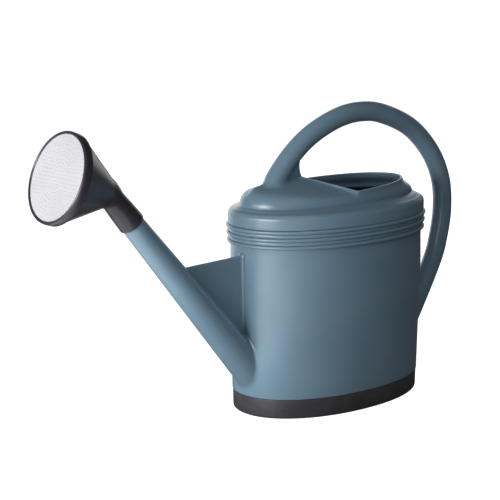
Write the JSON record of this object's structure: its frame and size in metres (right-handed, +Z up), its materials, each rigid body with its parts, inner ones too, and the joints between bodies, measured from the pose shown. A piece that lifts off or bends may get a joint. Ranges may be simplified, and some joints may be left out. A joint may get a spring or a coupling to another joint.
{
  "type": "watering can",
  "caption": "Oval plastic watering can with an arched carry handle, a long angled spout and a detachable round sprinkler rose.",
  "frame": {"origin": "centre of the boot's flat underside, on the ground", "axes": "+Z up, +X towards the carry handle's rear side, the spout points to -X, +Y across the can, which is symmetric about Y = 0"},
  "size_m": [0.651, 0.182, 0.3804],
  "materials": {
    "can_plastic": "satin blue-grey moulded plastic",
    "boot_plastic": "matt near-black plastic",
    "rose_plastic": "satin black plastic",
    "plate_plastic": "matt off-white plastic",
    "seal_rubber": "soft black rubber"
  },
  "bodies": {
    "can": {"tank_shell": "can_plastic", "top_cover": "can_plastic", "carry_handle": "can_plastic", "spout": "can_plastic", "base_boot": "boot_plastic"},
    "seal": {"collar_seal": "seal_rubber"},
    "rose": {"rose_horn": "rose_plastic"},
    "rose_face": {"rose_ring": "rose_plastic", "rose_plate": "plate_plastic"}
  },
  "joints": [
    {"name": "rose_pull", "type": "slide", "parent": "can", "child": "seal", "axis": [-0.6494, 0, 0.7604], "range_m": [0, 0.04]},
    {"name": "rose_turn", "type": "hinge", "parent": "seal", "child": "rose", "pos_m": [-0.30673, 0, 0.26275], "axis": [-0.6494, 0, 0.7604], "continuous": true},
    {"name": "face_pull", "type": "slide", "parent": "rose", "child": "rose_face", "axis": [-0.9403, 0, 0.3404], "range_m": [0, 0.02]}
  ]
}
